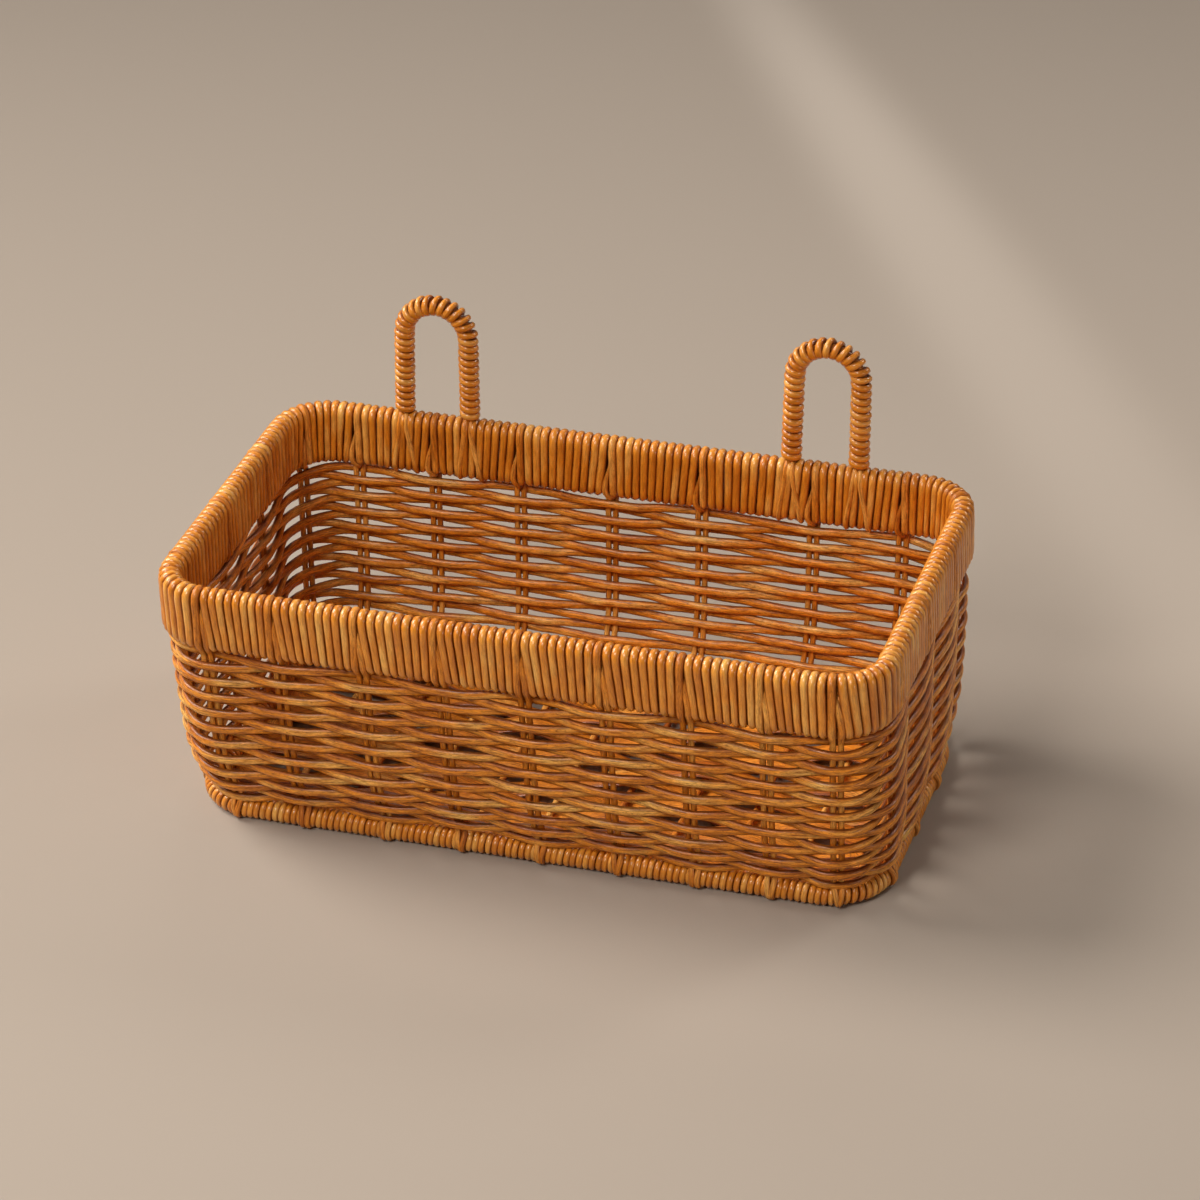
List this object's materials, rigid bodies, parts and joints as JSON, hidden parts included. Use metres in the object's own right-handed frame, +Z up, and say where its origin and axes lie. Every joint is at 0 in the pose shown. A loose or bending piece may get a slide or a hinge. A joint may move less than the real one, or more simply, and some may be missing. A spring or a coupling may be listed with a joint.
{
  "type": "wall basket",
  "caption": "Rectangular woven cane wall basket with rounded corners, a tall wrapped rim, a wrapped base hoop and wrapped hanging loops on its back edge.",
  "frame": {"origin": "middle of the basket's bounding box at the underside of its base hoop", "axes": "+X to the right seen from the front, +Y towards the wall that it hangs on, +Z up"},
  "size_m": [0.3504, 0.1954, 0.1965],
  "materials": {
    "cane_weaver": "satin",
    "cane_stake": "satin",
    "cane_wrap": "satin",
    "cane_core": "satin"
  },
  "bodies": {
    "root": {"rim_hoop_upper": "cane_core", "rim_hoop_lower": "cane_core", "base_hoop": "cane_core", "hanger_left_core": "cane_core", "hanger_right_core": "cane_core", "rim_wrap": "cane_wrap", "base_wrap": "cane_wrap", "hanger_left_wrap": "cane_wrap", "hanger_right_wrap": "cane_wrap", "stake_front_1": "cane_stake", "stake_front_2": "cane_stake", "stake_front_3": "cane_stake", "stake_front_4": "cane_stake", "stake_front_5": "cane_stake", "stake_front_6": "cane_stake", "stake_front_7": "cane_stake", "stake_front_8": "cane_stake", "stake_front_9": "cane_stake", "stake_back_1": "cane_stake", "stake_back_2": "cane_stake", "stake_back_3": "cane_stake", "stake_back_4": "cane_stake", "stake_back_5": "cane_stake", "stake_back_6": "cane_stake", "stake_back_7": "cane_stake", "stake_back_8": "cane_stake", "stake_back_9": "cane_stake", "stake_right_1": "cane_stake", "stake_right_2": "cane_stake", "stake_right_3": "cane_stake", "stake_left_1": "cane_stake", "stake_left_2": "cane_stake", "stake_left_3": "cane_stake", "base_stick_1": "cane_stake", "base_stick_2": "cane_stake", "base_stick_3": "cane_stake", "base_stick_4": "cane_stake", "base_stick_5": "cane_stake", "base_stick_6": "cane_stake", "base_stick_7": "cane_stake", "base_stick_8": "cane_stake", "base_stick_9": "cane_stake", "weaver_lower_a": "cane_weaver", "weaver_upper_a": "cane_weaver", "weaver_lower_b": "cane_weaver", "weaver_upper_b": "cane_weaver", "base_splint": "cane_weaver"}
  },
  "joints": []
}
